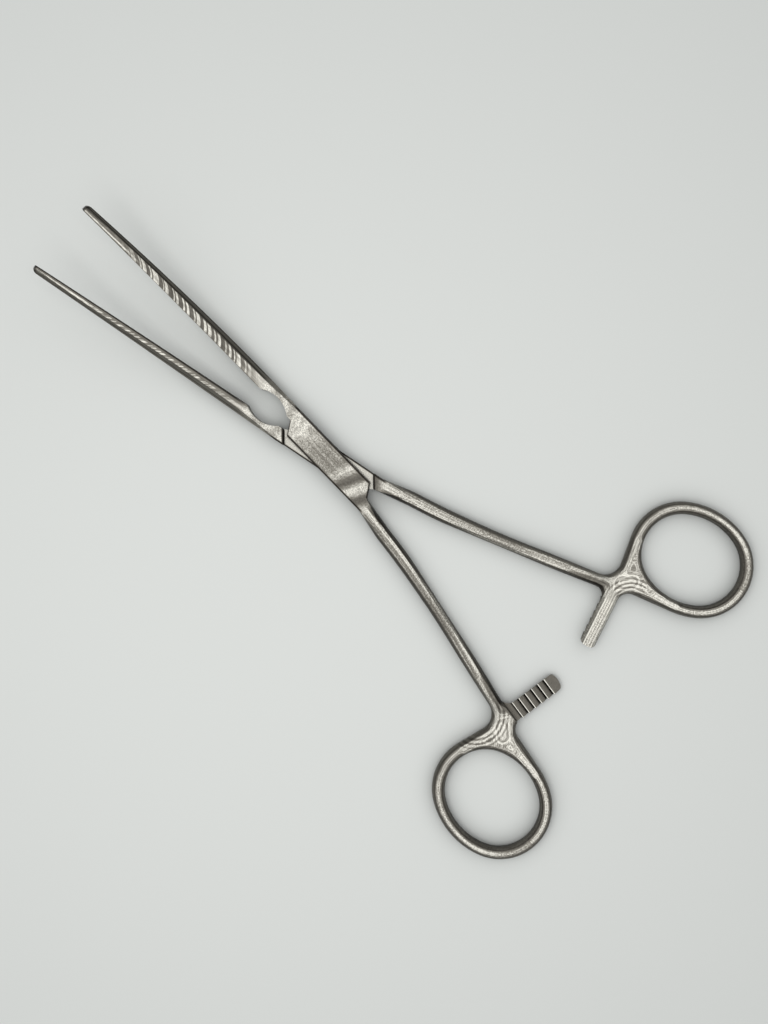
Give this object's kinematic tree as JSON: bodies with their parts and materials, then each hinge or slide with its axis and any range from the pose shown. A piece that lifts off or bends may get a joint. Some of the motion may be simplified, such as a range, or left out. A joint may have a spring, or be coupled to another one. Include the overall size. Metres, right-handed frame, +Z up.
{
  "type": "intestinal forceps",
  "caption": "Ratcheted box-lock forceps with long, slender, upward-curved jaws grooved lengthwise, shanks that flare to two oval finger rings, and interlocking ratchet arms.",
  "frame": {"origin": "on the joint pin's axis, in the plane of the box lock's lower face", "axes": "+X along the middle line towards the jaw tips, +Z up out of the box lock's upper plate, the way the jaws curve, +Y towards the female half's finger ring"},
  "size_m": [0.1967, 0.1128, 0.0211],
  "materials": {
    "satin_steel": "satin"
  },
  "bodies": {
    "female": {"female_half": "satin_steel", "joint_pin": "satin_steel"},
    "male": {"male_half": "satin_steel"}
  },
  "joints": [
    {"name": "box_lock", "type": "hinge", "parent": "female", "child": "male", "pos_m": [0, 0, 0.0027], "axis": [0, 0, 1], "range_deg": [-12, 28]}
  ]
}
